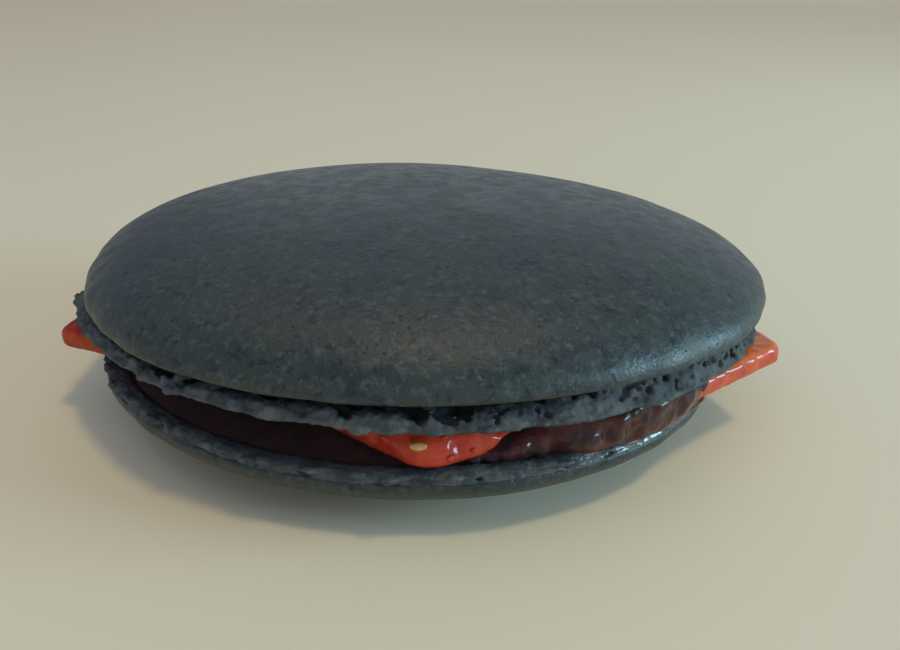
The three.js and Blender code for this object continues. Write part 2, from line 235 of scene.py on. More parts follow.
class ShellForm:
    """The wavy edges and air holes of one shell."""

    def __init__(self, shell):
        draw = random_stream(shell["seed"])
        self.shell = shell
        self.core_radius = shell["foot_top_radius"] - shell["foot_depth"]
        self.ruffle = wavy_band(draw, slowest=9, fastest=41, count=7, slant=2)
        self.crumb = wavy_band(draw, slowest=37, fastest=89, count=8, slant=7)
        self.lip_line = wavy_band(draw, slowest=5, fastest=67, count=9, slant=0)
        self.uneven_top = wavy_band(draw, slowest=2, fastest=5, count=3, slant=0)
        self.holes = air_holes(draw, shell["hole_count"], shell["hole_depth"])
        more = random_stream(shell["seed"] + EXTRA_HOLES)
        self.crack_line = wavy_band(more, slowest=3, fastest=23, count=6, slant=0)
        self.add_small_holes(more)
        self.add_crack_holes(more)
        for degrees, *pit in shell["deep_pits"]:
            self.holes.append((math.radians(degrees), *pit))
        self.lips = [self.lip(FULL_TURN * i / LIP_SAMPLES) for i in range(LIP_SAMPLES)]

    def add_small_holes(self, draw):
        """Pricks all along the foot, fewer where the crack gapes and where the foot baked smooth."""
        shell = self.shell
        for i in range(shell["small_holes"]):
            angle = FULL_TURN * (i + draw()) / shell["small_holes"]
            half_width = 0.22 + 0.5 * draw() ** 2
            place, half_height = 0.22 + 0.76 * draw(), 0.07 + 0.09 * draw()
            depth = 0.35 + 0.45 * draw()
            smooth = nearness(angle, *shell["smooth_stretch"])
            if draw() > max(0.8 * self.crack(angle), 0.85 * smooth):
                self.holes.append((angle, place, half_width, half_height, depth))

    def add_crack_holes(self, draw):
        """Wide, deep holes high on the foot, where the crack gapes."""
        for i in range(CRACK_HOLES):
            angle = FULL_TURN * (i + 0.7 * draw()) / CRACK_HOLES
            half_width, depth = 0.7 + 0.9 * draw() ** 2, 0.9 + 0.5 * draw()
            if self.crack(angle) > 0.45 + 0.3 * draw():
                place, half_height = 0.72 + 0.16 * draw(), 0.14 + 0.1 * draw()
                self.holes.append((angle, place, half_width, half_height, depth))

    def lip(self, angle):
        """Radius of the foot's lip, before it is put out of round."""
        shell = self.shell
        spread = nearness(angle, *shell["spread"])
        return shell["lip_radius"] + spread + shell["lip_raggedness"] * self.lip_line(angle)

    def near_lip(self, angle):
        """The lip's radius at the nearest sample, which is faster to find than the exact one."""
        return self.lips[math.floor(angle / FULL_TURN * LIP_SAMPLES) % LIP_SAMPLES]

    def drop(self, angle):
        """How far the lip sags below the flat face."""
        return nearness(angle, *self.shell["drop"])

    def crack(self, angle):
        """How wide the crack under the dome's edge gapes, from 0 to 1."""
        gape = 0.15 + nearness(angle, *self.shell["open_crack"]) + 0.3 * self.crack_line(angle)
        return min(1.0, max(0.0, gape))

    def foot_point(self, angle, place):
        """Radius and height of the foot's outer wall, from its lip (0) to the dome (1)."""
        shell = self.shell
        middle = math.sin(math.pi * place)
        wall = (1 - place) * self.lip(angle) + place * shell["foot_top_radius"]
        gape = self.crack(angle)
        hollow = shell["crease_depth"] * (0.3 + 0.7 * gape) * place ** 3 + 0.25 * middle
        hollow += shell["crack_depth"] * gape * ease(place, 0.38, 0.72)
        flare = 0.3 * math.exp(-(((place - 0.04) / 0.12) ** 2))
        relief = 0.2 * self.ruffle(angle, place) + 0.1 * self.crumb(angle, place)
        radius = wall - hollow + flare + relief * (0.4 + 0.6 * middle)
        lip_height = 0.25 - self.drop(angle)
        height = lip_height + place * (shell["foot_height"] - lip_height)
        return radius, height + 0.1 * self.crumb(angle + 2, place) * middle

    def dome_profile(self):
        """The dome's outline from under its edge up to its pole, as (radius, height)."""
        shell = self.shell
        radius, rim, flat = shell["radius"], shell["rim_height"], shell["flat_radius"]
        under = rim - shell["foot_height"]
        points = []
        for i in range(EDGE_ROWS):
            turn = math.pi / 2 * (1 - i / EDGE_ROWS)
            inset = shell["edge_undercut"] * (1 - math.cos(turn))
            points.append((radius - inset, rim - under * math.sin(turn)))
        n, m = shell["outward_power"], shell["upward_power"]

        def rise(r):
            return max(0.0, 1 - (r / radius) ** n) ** (1 / m)

        full = shell["dome_height"] / rise(flat)
        for i in range(DOME_ROWS):
            turn = math.pi / 2 * (i / DOME_ROWS) ** 0.85
            r = radius * math.cos(turn) ** (2 / n)
            if r > flat + 0.2:
                points.append((r, rim + full * rise(r)))
        if flat:
            points.append((flat, rim + shell["dome_height"]))
        points.append((0.0, rim + shell["dome_height"]))
        return points


# Mesh helpers

def spin_profile(bm, points, steps, closed):
    """Spins a profile of (radius, height) points a full turn round Z."""
    verts = [bm.verts.new((r, 0, z)) for r, z in points]
    edges = [bm.edges.new(pair) for pair in zip(verts, verts[1:])]
    if closed:
        edges.append(bm.edges.new((verts[-1], verts[0])))
    bmesh.ops.spin(
        bm,
        geom=verts + edges,
        cent=(0, 0, 0),
        axis=(0, 0, 1),
        angle=FULL_TURN,
        steps=steps,
        use_merge=True,
        use_duplicate=False,
    )
    bmesh.ops.remove_doubles(bm, verts=bm.verts, dist=1e-4)
    bmesh.ops.recalc_face_normals(bm, faces=bm.faces)


def object_from(bm, name):
    mesh = bpy.data.meshes.new(name)
    bm.to_mesh(mesh)
    bm.free()
    obj = bpy.data.objects.new(name, mesh)
    bpy.context.scene.collection.objects.link(obj)
    return obj


def bake_modifiers(obj):
    """Puts the result of the object's modifiers into its mesh."""
    graph = bpy.context.evaluated_depsgraph_get()
    graph.update()
    mesh = bpy.data.meshes.new_from_object(obj.evaluated_get(graph))
    old = obj.data
    obj.modifiers.clear()
    obj.data = mesh
    bpy.data.meshes.remove(old)
    mesh.name = obj.name


def remesh(obj, voxel):
    modifier = obj.modifiers.new("even mesh", "REMESH")
    modifier.mode = "VOXEL"
    modifier.voxel_size = voxel
    bake_modifiers(obj)


def soften(obj, times):
    modifier = obj.modifiers.new("soften", "SMOOTH")
    modifier.iterations = times
    bake_modifiers(obj)


def thin_out(obj, share):
    """Keeps about this share of the faces, fewest where the shape is flat."""
    modifier = obj.modifiers.new("thinned", "DECIMATE")
    modifier.ratio = share
    bake_modifiers(obj)


def push_out(obj, depth_at):
    """Moves each vertex along its normal by what depth_at says for its place and normal."""
    mesh = obj.data
    moves = [(v.co.copy(), v.normal.copy()) for v in mesh.vertices]
    for vertex, (place, normal) in zip(mesh.vertices, moves):
        vertex.co = place + normal * depth_at(place, normal)
    mesh.update()


def rough_noise(place, falloff):
    """Noise with three sizes of detail. The finer ones count for less with a larger falloff."""
    return noise.fractal(place, falloff, 2.1, 3)


def join_solid(obj, other, operation="UNION"):
    """Unites another closed solid with the object, or cuts it out, and deletes it."""
    modifier = obj.modifiers.new("joined", "BOOLEAN")
    modifier.operation = operation
    modifier.solver = "MANIFOLD"
    modifier.object = other
    bake_modifiers(obj)
    bpy.data.objects.remove(other)


def finish_piece(obj, node, materials):
    """Brings a piece to metres, gives it its materials, hangs it on the root body and hides the CAD
    part it is built in place of.
    """
    obj.data.transform(Matrix.Scale(MM, 4))
    indices = [polygon.material_index for polygon in obj.data.polygons]
    obj.data.materials.clear()
    for material in materials:
        obj.data.materials.append(material)
    for polygon, index in zip(obj.data.polygons, indices):
        polygon.material_index = index
        polygon.use_smooth = True
    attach(obj, "root")
    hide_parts(node)


def node_copy(node, name):
    """A closed copy of a CAD node's mesh, in millimetres."""
    bm = bmesh.new()
    bm.from_mesh(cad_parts[node].data)
    bmesh.ops.scale(bm, vec=(1 / MM,) * 3, verts=bm.verts)
    bmesh.ops.remove_doubles(bm, verts=bm.verts, dist=1e-3)
    bmesh.ops.recalc_face_normals(bm, faces=bm.faces)
    for layer in list(bm.loops.layers.uv):
        bm.loops.layers.uv.remove(layer)
    return object_from(bm, name)


def plain_lump():
    """The points and faces of one small ball, copied for every crumb, air hole and blob of jam."""
    bm = bmesh.new()
    bmesh.ops.create_icosphere(bm, subdivisions=2, radius=1.0)
    bm.verts.index_update()
    ball = ([v.co.copy() for v in bm.verts], [[v.index for v in face.verts] for face in bm.faces])
    bm.free()
    return ball


BALL = plain_lump()


def add_lump(bm, place, size, turn=0.0, tilt=0.0, roughness=0.0):
    """Adds a small lump with the given half sizes."""
    turned = Matrix.Rotation(turn, 3, "Z") @ Matrix.Rotation(tilt, 3, "Y") @ Matrix.Diagonal(size)
    centre = Vector(place)
    verts = []
    for point in BALL[0]:
        away = turned @ point
        if roughness:
            away *= 1 + roughness * noise.noise((centre + away) * 1.9)
        verts.append(bm.verts.new(centre + away))
    for corners in BALL[1]:
        bm.faces.new([verts[i] for i in corners])


# Material helpers

def add_node(tree, kind, values=None, **settings):
    node = tree.nodes.new(kind)
    for name, value in settings.items():
        setattr(node, name, value)
    for name, value in (values or {}).items():
        node.inputs[name].default_value = value
    return node


def link(tree, output, target):
    tree.links.new(output, target)


def fill_socket(tree, socket, value):
    """Puts a number or a colour into a socket, or links another node's output to it."""
    if isinstance(value, (int, float)):
        socket.default_value = value
    elif isinstance(value, tuple):
        socket.default_value = (*value, 1)
    else:
        link(tree, value, socket)


def math_node(tree, operation, a, b):
    node = add_node(tree, "ShaderNodeMath", operation=operation)
    fill_socket(tree, node.inputs[0], a)
    fill_socket(tree, node.inputs[1], b)
    return node.outputs[0]


def scaled(tree, value, factor):
    return math_node(tree, "MULTIPLY", value, factor)


def scaled_from(tree, start, value, factor):
    """start, and value times factor added to it."""
    return math_node(tree, "ADD", scaled(tree, value, factor), start)


def mix_colour(tree, factor, a, b):
    """Colour a where factor is 0, and colour b where it is 1."""
    node = add_node(tree, "ShaderNodeMix", data_type="RGBA")
    for index, value in ((0, factor), (6, a), (7, b)):
        fill_socket(tree, node.inputs[index], value)
    return node.outputs[2]


def step_mask(tree, value, low, high):
    """0 below low and 1 above high, smooth between; the other way round if low is the larger."""
    node = add_node(tree, "ShaderNodeMapRange", interpolation_type="SMOOTHSTEP")
    link(tree, value, node.inputs["Value"])
    node.inputs["From Min"].default_value = min(low, high)
    node.inputs["From Max"].default_value = max(low, high)
    node.inputs["To Min"].default_value = 0.0 if low < high else 1.0
    node.inputs["To Max"].default_value = 1.0 if low < high else 0.0
    return node.outputs[0]


def place_in_mm(tree):
    """The place on the piece, in millimetres."""
    coordinates = add_node(tree, "ShaderNodeTexCoord")
    mapping = add_node(tree, "ShaderNodeMapping", {"Scale": (1 / MM, 1 / MM, 1 / MM)})
    link(tree, coordinates.outputs["Object"], mapping.inputs["Vector"])
    return mapping.outputs["Vector"]


def noise_value(tree, place, scale, detail=3.0, roughness=0.55):
    values = {"Scale": scale, "Detail": detail, "Roughness": roughness}
    node = add_node(tree, "ShaderNodeTexNoise", values)
    link(tree, place, node.inputs["Vector"])
    return node.outputs["Fac"]


def attribute_value(tree, name):
    """The value that each vertex of the piece holds under this name."""
    return add_node(tree, "ShaderNodeAttribute", attribute_name=name).outputs["Fac"]


def new_group(name, inputs, outputs):
    group = bpy.data.node_groups.new(name, "ShaderNodeTree")
    for socket, kind, value in inputs:
        made = group.interface.new_socket(name=socket, in_out="INPUT", socket_type=kind)
        if value is not None:
            made.default_value = value
    for socket, kind in outputs:
        group.interface.new_socket(name=socket, in_out="OUTPUT", socket_type=kind)
    return group, add_node(group, "NodeGroupInput"), add_node(group, "NodeGroupOutput")


def use_group(tree, group, place, values=None):
    node = add_node(tree, "ShaderNodeGroup")
    node.node_tree = group
    link(tree, place, node.inputs["Place"])
    for name, value in (values or {}).items():
        node.inputs[name].default_value = value
    return node


def new_material(name, values):
    material = bpy.data.materials.new(name)
    material.use_nodes = True
    shader = material.node_tree.nodes["Principled BSDF"]
    for socket, value in values.items():
        shader.inputs[socket].default_value = value
    return material, material.node_tree, shader


def add_bump(tree, shader, height, strength, distance):
    bump = add_node(tree, "ShaderNodeBump", {"Strength": strength, "Distance": distance})
    link(tree, height, bump.inputs["Height"])
    link(tree, bump.outputs["Normal"], shader.inputs["Normal"])


def almond_grain_group():
    """Fine meringue grain, soft blotches, tiny pores and almond flecks."""
    group, given, result = new_group(
        "almond grain",
        [
            ("Place", "NodeSocketVector", None),
            ("Grain Scale", "NodeSocketFloat", 2.6),
            ("Pore Share", "NodeSocketFloat", 0.3),
        ],
        [
            ("Height", "NodeSocketFloat"),
            ("Blotch", "NodeSocketFloat"),
            ("Pore", "NodeSocketFloat"),
            ("Fleck", "NodeSocketFloat"),
        ],
    )
    place = given.outputs["Place"]
    grain = add_node(group, "ShaderNodeTexNoise", {"Detail": 5.0, "Roughness": 0.6})
    link(group, place, grain.inputs["Vector"])
    link(group, given.outputs["Grain Scale"], grain.inputs["Scale"])
    swell = noise_value(group, place, 0.4, 2.0)
    blotch = noise_value(group, place, 0.5, 5.0, 0.65)

    def scattered(scale, size, share):
        """Soft round spots in this share of the cells of a pattern."""
        cells = add_node(group, "ShaderNodeTexVoronoi", {"Scale": scale, "Randomness": 1.0})
        link(group, place, cells.inputs["Vector"])
        spot = step_mask(group, cells.outputs["Distance"], size, 0.35 * size)
        chosen = add_node(group, "ShaderNodeSeparateColor")
        link(group, cells.outputs["Color"], chosen.inputs[0])
        kept = math_node(group, "LESS_THAN", chosen.outputs[0], share)
        return math_node(group, "MULTIPLY", spot, kept)

    pore = scattered(1.15, 0.2, given.outputs["Pore Share"])
    fine_pore = scattered(2.4, 0.26, given.outputs["Pore Share"])
    pores = math_node(group, "MAXIMUM", pore, scaled(group, fine_pore, 0.6))
    fleck = scattered(1.7, 0.22, 0.16)
    height = math_node(group, "ADD", grain.outputs["Fac"], scaled(group, swell, 0.7))
    height = math_node(group, "SUBTRACT", height, scaled(group, pores, 0.9))
    link(group, height, result.inputs["Height"])
    link(group, blotch, result.inputs["Blotch"])
    link(group, pores, result.inputs["Pore"])
    link(group, fleck, result.inputs["Fleck"])
    return group


def wet_film_group():
    """A wet surface: uneven gloss and slow ripples."""
    group, given, result = new_group(
        "wet film",
        [("Place", "NodeSocketVector", None), ("Ripple Scale", "NodeSocketFloat", 0.9)],
        [("Height", "NodeSocketFloat"), ("Gloss", "NodeSocketFloat")],
    )
    ripple = add_node(group, "ShaderNodeTexNoise", {"Detail": 2.0, "Roughness": 0.45})
    link(group, given.outputs["Place"], ripple.inputs["Vector"])
    link(group, given.outputs["Ripple Scale"], ripple.inputs["Scale"])
    dull = noise_value(group, given.outputs["Place"], 0.5, 3.0)
    link(group, ripple.outputs["Fac"], result.inputs["Height"])
    link(group, step_mask(group, dull, 0.35, 0.7), result.inputs["Gloss"])
    return group


GRAIN = almond_grain_group()
WET = wet_film_group()


# Materials

# Base colours; a pair goes from the darker patches to the lighter ones.
SLATE = ((0.0145, 0.024, 0.031), (0.029, 0.043, 0.043))
SLATE_GREEN = (0.025, 0.04, 0.035)
PALE_GRAIN = (0.06, 0.078, 0.08)
DARK_GRAIN = (0.007, 0.012, 0.016)
ALMOND = (0.14, 0.13, 0.095)
# Painted shade in the dome's tiny pores.
PORE_PAINTED_SHADE = (0.008, 0.012, 0.014)
FOOT_GREY = ((0.052, 0.066, 0.072), (0.1, 0.12, 0.124))
DAMP_FOOT = (0.026, 0.036, 0.042)
# Painted shade, laid on the foot by how deep each vertex sits in a hollow or air hole.
HOLLOW_PAINTED_SHADE = (0.012, 0.014, 0.016)
SOAKED_FACE = ((0.04, 0.03, 0.032), (0.075, 0.038, 0.037))
DARK_JAM = ((0.03, 0.019, 0.02), (0.1, 0.027, 0.022))
RED_SKIN = ((0.44, 0.03, 0.014), (0.64, 0.085, 0.03))
ORANGE_FLESH = ((0.58, 0.13, 0.03), (0.66, 0.2, 0.05))
# A darker copy of the strawberry's colours: painted shade for the left slice and one slice at the back.
PAINTED_SHADE_SKIN = ((0.2, 0.01, 0.007), (0.3, 0.025, 0.014))
PAINTED_SHADE_FLESH = ((0.42, 0.07, 0.02), (0.5, 0.11, 0.035))
SEED_TAN = ((0.45, 0.25, 0.065), (0.66, 0.42, 0.12))
TABLE_SAND = ((0.78, 0.715, 0.535), (0.82, 0.755, 0.575))

# How far red, green and blue light spread under a wet red surface, and the scale of it in metres.
JAM_SPREAD = (1.0, 0.25, 0.15)
FRUIT_SPREAD = (1.0, 0.3, 0.15)
SPREAD_SCALE = 0.0012


def shell_skin_material():
    """The smooth, finely grained skin of a dome, with almond flecks, darker patches and painted shade
    in its pores.
    """
    values = {"Specular IOR Level": 0.55, "IOR": 1.45}
    material, tree, shader = new_material("baked shell skin", values)
    place = place_in_mm(tree)
    grain = use_group(tree, GRAIN, place, {"Grain Scale": 2.4, "Pore Share": 0.35})
    blotch, fleck, pore = (grain.outputs[name] for name in ("Blotch", "Fleck", "Pore"))
    hue = noise_value(tree, place, 0.13, 4.0, 0.6)
    fine = noise_value(tree, place, 1.3, 4.0, 0.65)
    dark = step_mask(tree, noise_value(tree, place, 0.95, 3.0, 0.6), 0.44, 0.34)
    colour = mix_colour(tree, step_mask(tree, blotch, 0.38, 0.62), *SLATE)
    for amount, added in (
        (step_mask(tree, hue, 0.4, 0.62), SLATE_GREEN),
        (step_mask(tree, fine, 0.48, 0.72), PALE_GRAIN),
        (scaled(tree, dark, 0.75), DARK_GRAIN),
        (scaled(tree, fleck, 0.5), ALMOND),
        # painted shade in the pores
        (scaled(tree, pore, 0.7), PORE_PAINTED_SHADE),
    ):
        colour = mix_colour(tree, amount, colour, added)
    link(tree, colour, shader.inputs["Base Color"])
    patchy = scaled(tree, step_mask(tree, blotch, 0.4, 0.6), 0.12)
    rough = math_node(tree, "ADD", scaled(tree, fine, 0.2), patchy)
    link(tree, math_node(tree, "ADD", rough, 0.25), shader.inputs["Roughness"])
    add_bump(tree, shader, grain.outputs["Height"], 0.6, 0.00013)
    return material


def foot_material():
    """The rough crumb of a foot: painted shade in its hollows, damp in patches and glossy where smooth.
    """
    values = {"Specular IOR Level": 0.35, "Coat Roughness": 0.16}
    material, tree, shader = new_material("baked foot crumb", values)
    place = place_in_mm(tree)
    grain = use_group(tree, GRAIN, place, {"Grain Scale": 3.4, "Pore Share": 0.5})
    tone = step_mask(tree, grain.outputs["Blotch"], 0.3, 0.7)
    damp = step_mask(tree, noise_value(tree, place, 0.42, 3.0, 0.6), 0.56, 0.4)
    colour = mix_colour(tree, tone, *FOOT_GREY)
    colour = mix_colour(tree, scaled(tree, damp, 0.7), colour, DAMP_FOOT)
    # Painted shade: the foot gets darker the deeper the vertex lies in a hollow.
    colour = mix_colour(tree, attribute_value(tree, "hollow"), colour, HOLLOW_PAINTED_SHADE)
    link(tree, colour, shader.inputs["Base Color"])
    smoothed = attribute_value(tree, "smoothed")
    link(tree, scaled_from(tree, 0.72, smoothed, -0.44), shader.inputs["Roughness"])
    link(tree, scaled(tree, smoothed, 0.9), shader.inputs["Coat Weight"])
    add_bump(tree, shader, grain.outputs["Height"], 0.7, 0.0001)
    return material


def stained_material():
    """The flat face of a shell, dark and damp where the jam has soaked in."""
    material, tree, shader = new_material("jam soaked face", {"Roughness": 0.45})
    place = place_in_mm(tree)
    grain = use_group(tree, GRAIN, place, {"Grain Scale": 3.0, "Pore Share": 0.4})
    tone = step_mask(tree, grain.outputs["Blotch"], 0.3, 0.7)
    link(tree, mix_colour(tree, tone, *SOAKED_FACE), shader.inputs["Base Color"])
    add_bump(tree, shader, grain.outputs["Height"], 0.6, 0.0001)
    return material


def wet_red_material(name, specular, coat, subsurface, spread):
    """A material with a clear wet coat, in which light spreads a little."""
    values = {
        "IOR": 1.36,
        "Specular IOR Level": specular,
        "Coat Weight": coat,
        "Coat Roughness": 0.05,
        "Subsurface Weight": subsurface,
        "Subsurface Radius": spread,
        "Subsurface Scale": SPREAD_SCALE,
    }
    return new_material(name, values)


def jam_material():
    material, tree, shader = wet_red_material("red jam", 0.12, 0.38, 0.1, JAM_SPREAD)
    place = place_in_mm(tree)
    film = use_group(tree, WET, place, {"Ripple Scale": 1.1})
    pulp = step_mask(tree, noise_value(tree, place, 0.7, 4.0, 0.6), 0.35, 0.7)
    link(tree, mix_colour(tree, pulp, *DARK_JAM), shader.inputs["Base Color"])
    link(tree, scaled_from(tree, 0.1, film.outputs["Gloss"], 0.12), shader.inputs["Roughness"])
    add_bump(tree, shader, film.outputs["Height"], 0.5, 0.0004)
    return material


def strawberry_material(name, wetness, skin_colours, flesh_colours):
    """Wet red skin where the attribute called skin is 1, and paler cut flesh where it is 0."""
    material, tree, shader = wet_red_material(name, 0.2, wetness, 0.2, FRUIT_SPREAD)
    place = place_in_mm(tree)
    film = use_group(tree, WET, place, {"Ripple Scale": 0.8})
    mottle = noise_value(tree, place, 0.45, 4.0, 0.6)
    skin = mix_colour(tree, step_mask(tree, mottle, 0.3, 0.7), *skin_colours)
    fibres = noise_value(tree, place, 1.1, 3.0, 0.7)
    flesh = mix_colour(tree, step_mask(tree, fibres, 0.3, 0.75), *flesh_colours)
    colour = mix_colour(tree, attribute_value(tree, "skin"), flesh, skin)
    link(tree, colour, shader.inputs["Base Color"])
    link(tree, scaled_from(tree, 0.4, film.outputs["Gloss"], 0.16), shader.inputs["Roughness"])
    height = math_node(tree, "ADD", film.outputs["Height"], scaled(tree, fibres, 0.2))
    add_bump(tree, shader, height, 0.4, 0.0002)
    return material


def seed_material():
    material, tree, shader = new_material("strawberry seed", {"Roughness": 0.3, "Coat Weight": 0.4})
    tone = step_mask(tree, noise_value(tree, place_in_mm(tree), 1.6, 2.0), 0.3, 0.7)
    link(tree, mix_colour(tree, tone, *SEED_TAN), shader.inputs["Base Color"])
    return material


SKIN = shell_skin_material()
FOOT = foot_material()
STAINED = stained_material()
JAM = jam_material()
STRAWBERRY = strawberry_material("strawberry", 0.5, RED_SKIN, ORANGE_FLESH)
# The darker copy of the strawberry is painted shade, with a less wet coat.
SHADE_PAINTED_STRAWBERRY = strawberry_material("strawberry with painted shade", 0.06, PAINTED_SHADE_SKIN, PAINTED_SHADE_FLESH)
SEED = seed_material()


# Shells

def dome_solid(form, name):
    """The dome and the core behind the foot, as one turned solid."""
    shell = form.shell
    core, foot_height, flat = form.core_radius, shell["foot_height"], shell["flat_radius"]
    profile = [(0.0, 0.3), (core - 0.6, 0.3), (core, 0.6), (core, foot_height - 0.1)]
    profile += form.dome_profile()
    bm = bmesh.new()
    spin_profile(bm, profile, DOME_STEPS, closed=False)
    summit = shell["rim_height"] + shell["dome_height"] - 0.001
    for vertex in bm.verts:
        x, y, z = vertex.co
        radius = math.hypot(x, y)
        if radius < 1e-3:
            continue
        angle = math.atan2(y, x)
        share = min(1.0, radius / shell["radius"])
        if z > foot_height - 0.2:
            near_edge = ease(share, 0.93, 1.0)
            radius += 0.08 * form.ruffle(angle) * near_edge
            radius -= nearness(angle, *shell["edge_inset"]) * ease(share, 0.8, 1.0)
            fade = ease(radius, flat, flat + 8)
            rise = math.sqrt(max(0.0, 1 - share ** shell["outward_power"]))
            z += 0.09 * rise * fade * ease(share, 0.0, 0.6) * form.uneven_top(angle)
            z += 0.06 * fade * noise.noise(Vector((x, y, 0)) / 6) * (1 - near_edge)
        if z < summit:  # the flat spot that the macaron rests on stays round
            radius *= out_of_round(shell, angle)
        vertex.co = on_circle(radius, angle, z)
    return object_from(bm, name)


def foot_ring(form):
    """The plain ruffled band of the foot."""
    shell = form.shell
    foot_height = shell["foot_height"]
    outer, inner = shell["foot_top_radius"] + 2, form.core_radius - 0.5
    top = foot_height + 0.3
    profile = [(inner, 0.5), (inner + 0.7, 0.1)]
    profile += [(outer, foot_height * row / FOOT_ROWS) for row in range(FOOT_ROWS + 1)]
    profile += [(inner + 1.3, top), (inner, top)]
    bm = bmesh.new()
    spin_profile(bm, profile, FOOT_STEPS, closed=True)
    for vertex in bm.verts:
        x, y, z = vertex.co
        radius = math.hypot(x, y)
        angle = math.atan2(y, x)
        if radius > outer - 0.1:
            place = z / foot_height
            radius, z = form.foot_point(angle, place)
            if place < 0.001:  # the lowest row is tucked in under the lip
                radius, z = form.lip(angle) - 0.25, -form.drop(angle)
        radius *= out_of_round(shell, angle)
        vertex.co = on_circle(radius, angle, z)
    return object_from(bm, "foot ring")


def hole_blobs(form):
    """The air holes of a foot, as one solid to cut out of it."""
    shell = form.shell
    draw = random_stream(shell["seed"] + HOLE_TILTS)
    bm = bmesh.new()
    for angle, place, half_width, half_height, depth in form.holes:
        radius, z = form.foot_point(angle, place)
        radius = (radius - 0.1 * depth) * out_of_round(shell, angle)
        half_sizes = (0.95 * depth, 0.8 * half_width, 1.05 * half_height * shell["foot_height"])
        tilt = 0.5 * (draw() - 0.5)
        add_lump(bm, on_circle(radius, angle, z), half_sizes, angle, tilt, roughness=0.5)
    obj = object_from(bm, "air holes")
    remesh(obj, 0.9 * FOOT_VOXEL)
    return obj


def add_crumbs(bm, form):
    """Baked crumbs all along the foot, coarser where the crack gapes, and a few that stand out."""
    shell = form.shell
    draw = random_stream(shell["seed"] + CRUMBS)
    for i in range(shell["crumbs"]):
        angle = FULL_TURN * (i + draw()) / shell["crumbs"]
        if nearness(angle, *shell["smooth_stretch"]) > 0.4:
            continue
        place = 0.05 + 0.8 * draw()
        radius, z = form.foot_point(angle, place)
        size = 0.13 + (0.16 + 0.3 * form.crack(angle)) * draw() ** 2
        radius = (radius - 0.3 * size) * out_of_round(shell, angle)
        half_sizes = (size, size * (0.9 + 1.1 * draw()), size * (0.55 + 0.5 * draw()))
        add_lump(bm, on_circle(radius, angle, z), half_sizes, angle, tilt=draw() - 0.5)
    for degrees, place, reach, half_sizes in shell["stray_crumbs"]:
        angle = math.radians(degrees)
        radius, z = form.foot_point(angle, place)
        radius = (radius + reach) * out_of_round(shell, angle)
        add_lump(bm, on_circle(radius, angle, z), half_sizes, angle, tilt=0.3, roughness=0.4)


def foot_solid(form, name):
    """The foot of a shell: a ruffled band with air holes and crumbs, meshed evenly."""
    ring = foot_ring(form)
    join_solid(ring, hole_blobs(form), "DIFFERENCE")
    bm = bmesh.new()
    bm.from_mesh(ring.data)
    bpy.data.objects.remove(ring)
    add_crumbs(bm, form)
    obj = object_from(bm, name)
    remesh(obj, FOOT_VOXEL)
    soften(obj, form.shell["foot_softening"])
    inner = form.core_radius + 0.2

    def crust(place, normal):
        if math.hypot(place.x, place.y) < inner:
            return 0.0
        angle = math.atan2(place.y, place.x)
        rough = 1 - 0.9 * nearness(angle, *form.shell["smooth_stretch"])
        fine = 0.09 * rough_noise(place * 1.9, 0.7)
        return rough * (fine + 0.06 * noise.noise(place * 0.8))

    push_out(obj, crust)
    thin_out(obj, form.shell["face_share"])
    return obj


def mark_hollows(obj, form, seat):
    """Stores how deep in a hollow of the foot each vertex lies, which sets the painted shade there, and
    where the foot baked smooth.
    """
    shell = form.shell
    back = seat.inverted()
    marks = obj.data.attributes.new("hollow", "FLOAT", "POINT")
    gloss = obj.data.attributes.new("smoothed", "FLOAT", "POINT")
    for vertex, mark, smoothed in zip(obj.data.vertices, marks.data, gloss.data):
        place = back @ vertex.co
        if place.z > shell["foot_height"] + 0.3:
            continue
        angle = math.atan2(place.y, place.x)
        smoothed.value = nearness(angle, *shell["smooth_stretch"])
        radius = math.hypot(place.x, place.y) / out_of_round(shell, angle)
        share = min(1.0, max(0.0, place.z / shell["foot_height"]))
        wall = (1 - share) * form.near_lip(angle) + share * shell["foot_top_radius"]
        flatness = ease(abs(vertex.normal.z), 0.6, 0.95) * (1 - ease(place.z, 0.2, 0.6))
        # This depth sets the painted shade of the foot's hollows; flat faces get less of it.
        mark.value = ease(wall - radius, 0.35, 1.5) * (1 - 0.8 * flatness)


def make_shell(node, shell, seat):
    """One shell: skin on the dome, crumb on the foot and a jam-soaked flat face."""
    form = ShellForm(shell)
    name = "macaron_" + node
    dome = dome_solid(form, name)
    foot = foot_solid(form, name + "_foot")
    materials = [SKIN, FOOT, STAINED]
    face_radius = form.core_radius - 0.1
    for obj, own_material in ((dome, SKIN), (foot, FOOT)):
        for material in materials:
            obj.data.materials.append(material)
        for polygon in obj.data.polygons:
            x, y, z = polygon.center
            reach = face_radius * out_of_round(shell, math.atan2(y, x))
            stained = z < 0.5 and math.hypot(x, y) < reach
            polygon.material_index = materials.index(STAINED if stained else own_material)
    join_solid(dome, foot)
    dome.data.transform(seat)
    mark_hollows(dome, form, seat)
    finish_piece(dome, node, materials)


make_shell("upper_shell", UPPER, UPPER_SEAT)
make_shell("lower_shell", LOWER, LOWER_SEAT)


# Jam

JAM_SEED = 77
JAM_SECTORS = 72
JAM_LUMPS = 260
FRONT_LUMPS = 110
# Where the first lumps sit, where the jam draws back and where it sags: angles and widths in degrees.
FRONT_START, FRONT_WIDTH = -76, 54
JAM_RECESS = (1.5, -109, 13)
JAM_SAG = (0.55, -58, 24)
